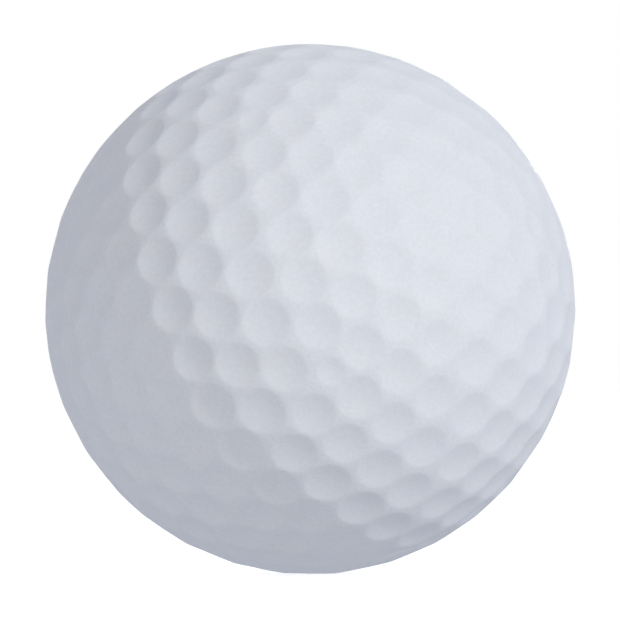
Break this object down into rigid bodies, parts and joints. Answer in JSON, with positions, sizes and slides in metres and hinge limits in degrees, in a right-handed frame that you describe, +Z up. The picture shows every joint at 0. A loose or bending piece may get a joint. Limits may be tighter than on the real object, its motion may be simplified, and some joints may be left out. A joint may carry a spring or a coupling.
{
  "type": "golf ball",
  "caption": "White golf ball: a dimpled cover moulded as half shells round a mantle and a solid rubber core, to be struck from a tee or the turf.",
  "frame": {"origin": "centre of the ball", "axes": "+Z up and +X to the right as pictured, -Y towards the viewer; the mould pole of the left cover half lies 94.9 degrees from +Z at a heading of 213.2 degrees"},
  "size_m": [0.0426, 0.0426, 0.0426],
  "materials": {
    "cover_white": "white paint under clear coat, low sheen",
    "mantle_resin": "as moulded, satin",
    "core_rubber": "ground, dull"
  },
  "bodies": {
    "root": {"core": "core_rubber", "mantle": "mantle_resin", "cover_half_left": "cover_white", "cover_half_right": "cover_white"}
  },
  "joints": []
}
